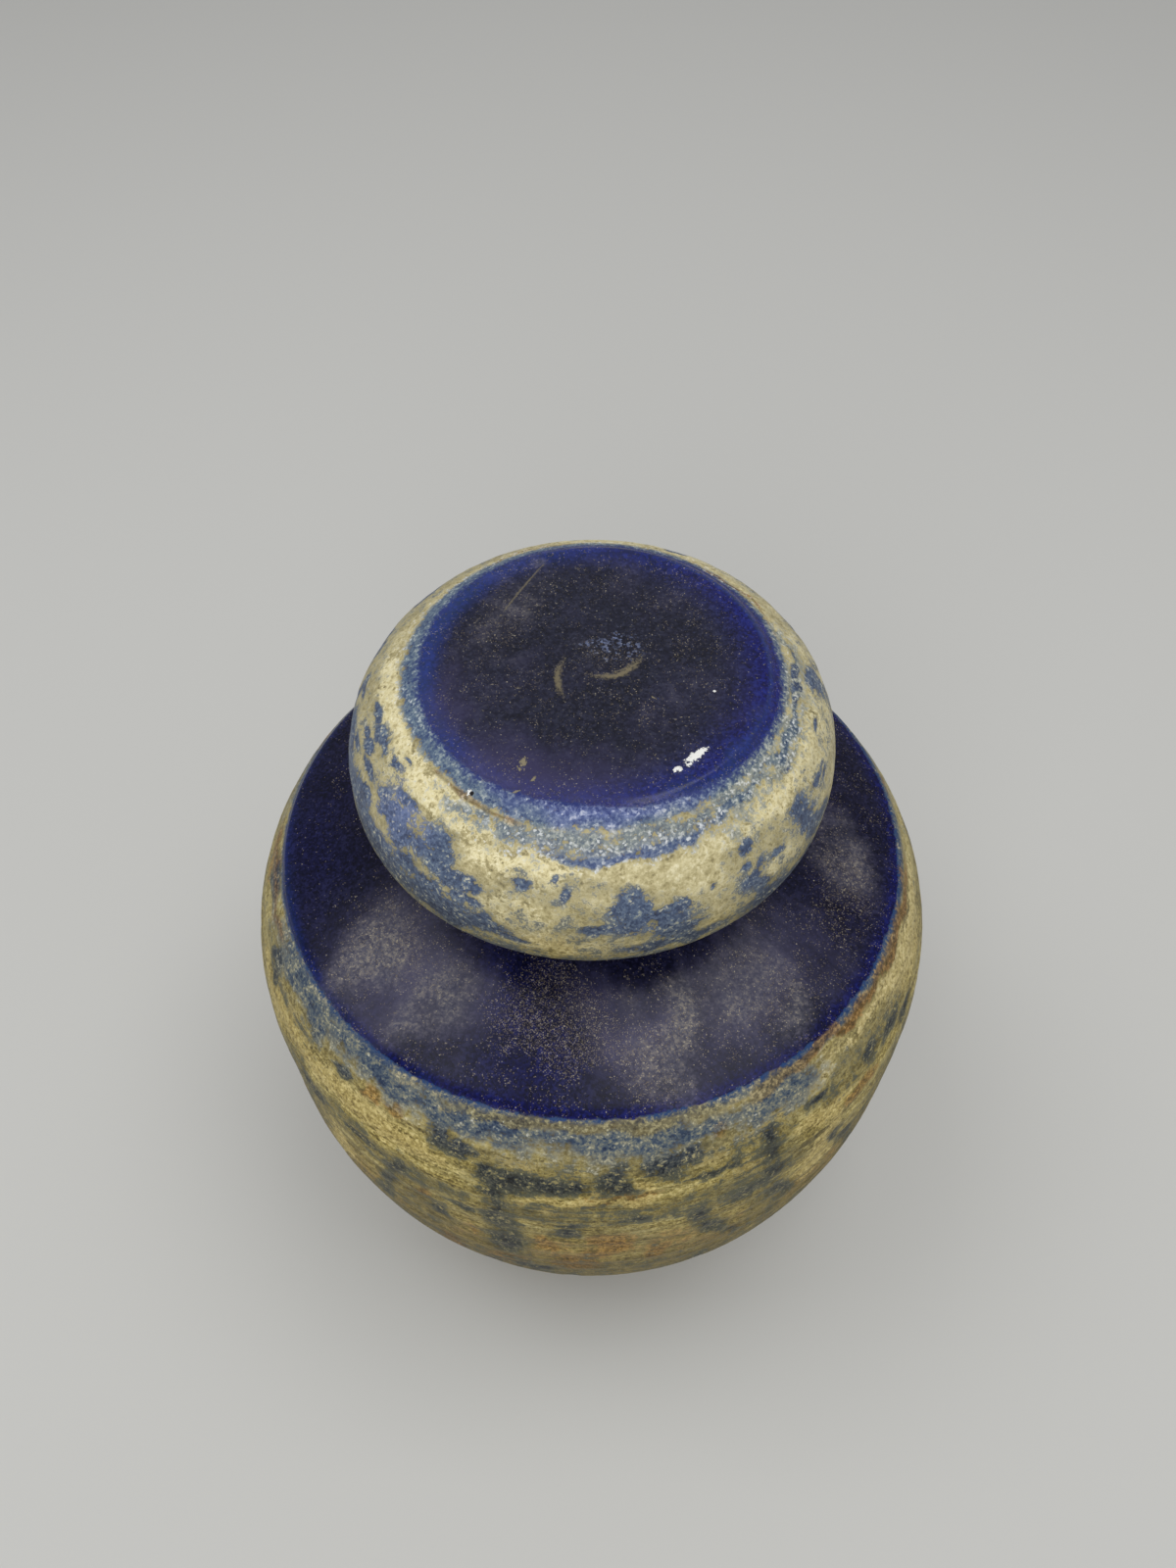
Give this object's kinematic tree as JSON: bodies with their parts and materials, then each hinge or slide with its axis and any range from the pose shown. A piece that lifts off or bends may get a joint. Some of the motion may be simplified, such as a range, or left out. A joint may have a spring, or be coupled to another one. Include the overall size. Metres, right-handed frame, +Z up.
{
  "type": "lidded ceramic jar",
  "caption": "Squat round-bellied glazed ceramic jar with a sloping shoulder, a hidden collar and a hollow cap lid that lifts off.",
  "frame": {"origin": "centre of the circle on which the foot ring stands", "axes": "+Z up along the axis of the jar and its lid; the jar is round, so +X is any direction, and the picture is taken from the -Y side"},
  "size_m": [0.12, 0.12, 0.141],
  "materials": {
    "jar_glaze": "gloss cobalt glaze on the shoulder that breaks to ochre, slate blue and rust over the belly",
    "lid_glaze": "gloss cobalt glaze on the flat top that breaks to tan and slate blue down the side"
  },
  "bodies": {
    "jar": {"jar": "jar_glaze"},
    "lid": {"lid": "lid_glaze"}
  },
  "joints": [
    {"name": "lid_lift", "type": "slide", "parent": "jar", "child": "lid", "axis": [0, 0, 1], "range_m": [0, 0.06]}
  ]
}
